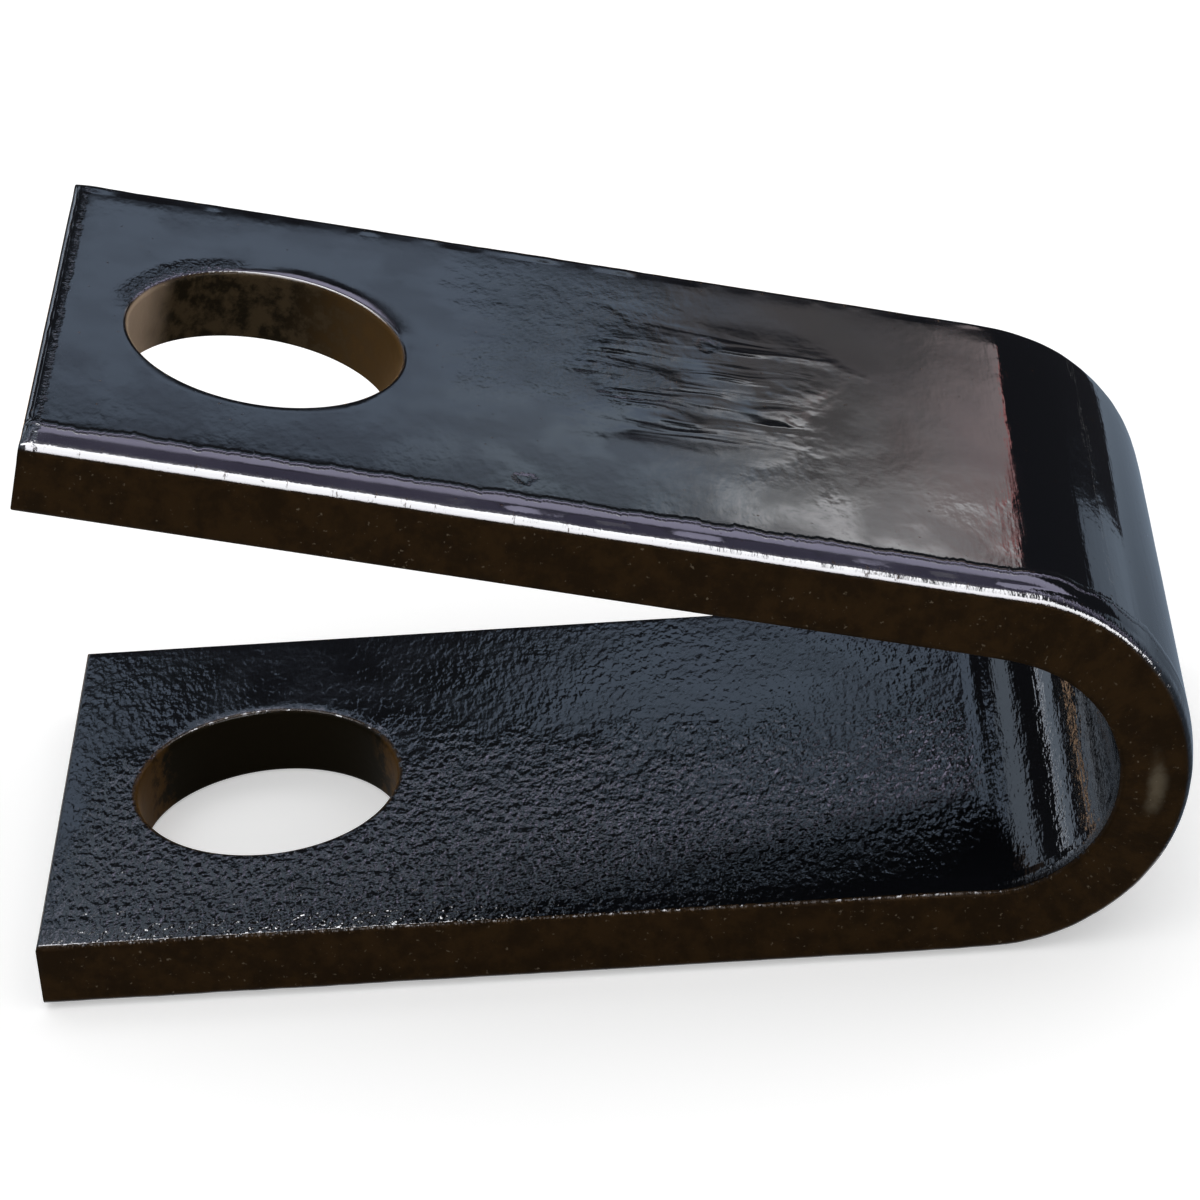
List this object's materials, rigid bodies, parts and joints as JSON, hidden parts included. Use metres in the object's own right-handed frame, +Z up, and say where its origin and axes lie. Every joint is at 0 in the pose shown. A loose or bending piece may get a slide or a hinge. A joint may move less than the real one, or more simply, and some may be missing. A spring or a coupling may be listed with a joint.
{
  "type": "bent bar clevis",
  "caption": "U-shaped clevis bent from flat steel bar, with a pin hole through each splayed leg, painted gloss black, for hanging or coupling pipe supports.",
  "frame": {"origin": "under the middle of the clevis, on the plane that the lower leg's outer face lies on", "axes": "+X along the lower leg from the free ends to the bend, Y across the bar, +Z up out of the lower leg's inner face"},
  "size_m": [0.1013, 0.05, 0.0564],
  "materials": {
    "black_paint": "gloss"
  },
  "bodies": {
    "root": {"clevis_strap": "black_paint"}
  },
  "joints": []
}
